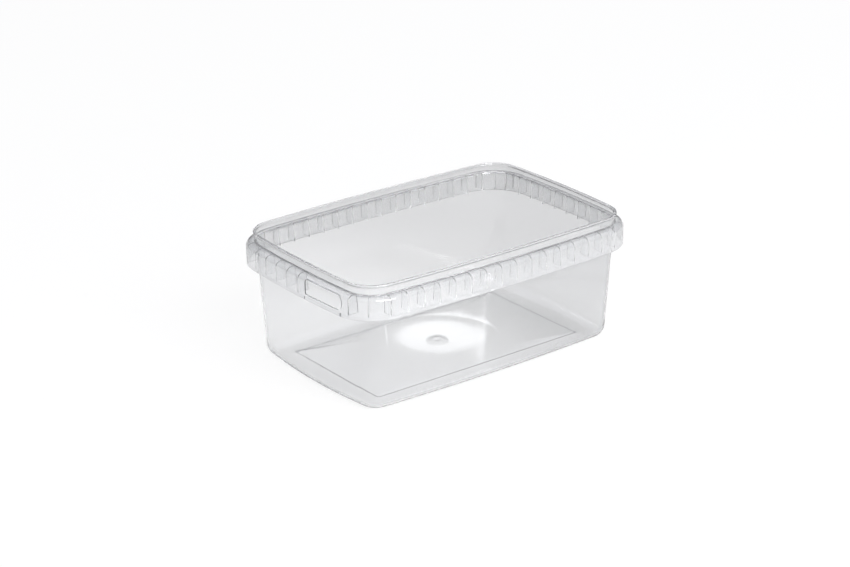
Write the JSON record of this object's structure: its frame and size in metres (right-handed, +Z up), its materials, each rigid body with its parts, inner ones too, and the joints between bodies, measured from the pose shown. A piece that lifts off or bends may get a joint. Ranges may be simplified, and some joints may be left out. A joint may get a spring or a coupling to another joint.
{
  "type": "clear plastic packaging tub",
  "caption": "Rectangular clear food packaging tub with rounded corners, an upright beaded rim, a ribbed skirt with a finger slot, and a raised floor panel.",
  "frame": {"origin": "middle of the flat face that the tub stands on", "axes": "+X along the length, away from the short side with the finger slot; +Y across the width; +Z up, out of the open top"},
  "size_m": [0.1964, 0.1308, 0.0753],
  "materials": {
    "clear_plastic": "clear natural polypropylene, slightly hazy, glossy"
  },
  "bodies": {
    "root": {"tub": "clear_plastic"}
  },
  "joints": []
}
